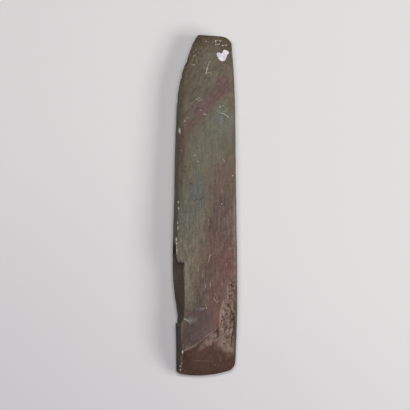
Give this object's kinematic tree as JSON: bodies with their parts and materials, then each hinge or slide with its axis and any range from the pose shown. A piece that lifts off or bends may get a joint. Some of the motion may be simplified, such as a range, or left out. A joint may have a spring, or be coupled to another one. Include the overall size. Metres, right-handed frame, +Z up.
{
  "type": "jadeite axe head",
  "caption": "Long ground jadeite axe head with a slanting bevel, blunt butt and old edge flakes, lying flat, with a torn label remnant near the butt.",
  "frame": {"origin": "on the ground under the middle of the stone's bounding box, as it lies on its broad underside", "axes": "+Y along the stone towards the butt, with the cutting edge at -Y; +Z up through the thickness, out of the polished face; +X across, away from the side with the great flake scar"},
  "size_m": [0.065, 0.341, 0.036],
  "materials": {
    "stone": "ground and dully polished jadeite, mottled olive, grey-green and maroon",
    "label_paper": "matt white torn paper",
    "ink": "dried matt white ink"
  },
  "bodies": {
    "root": {"axe_head": "stone", "label_remnant": "label_paper"}
  },
  "joints": []
}
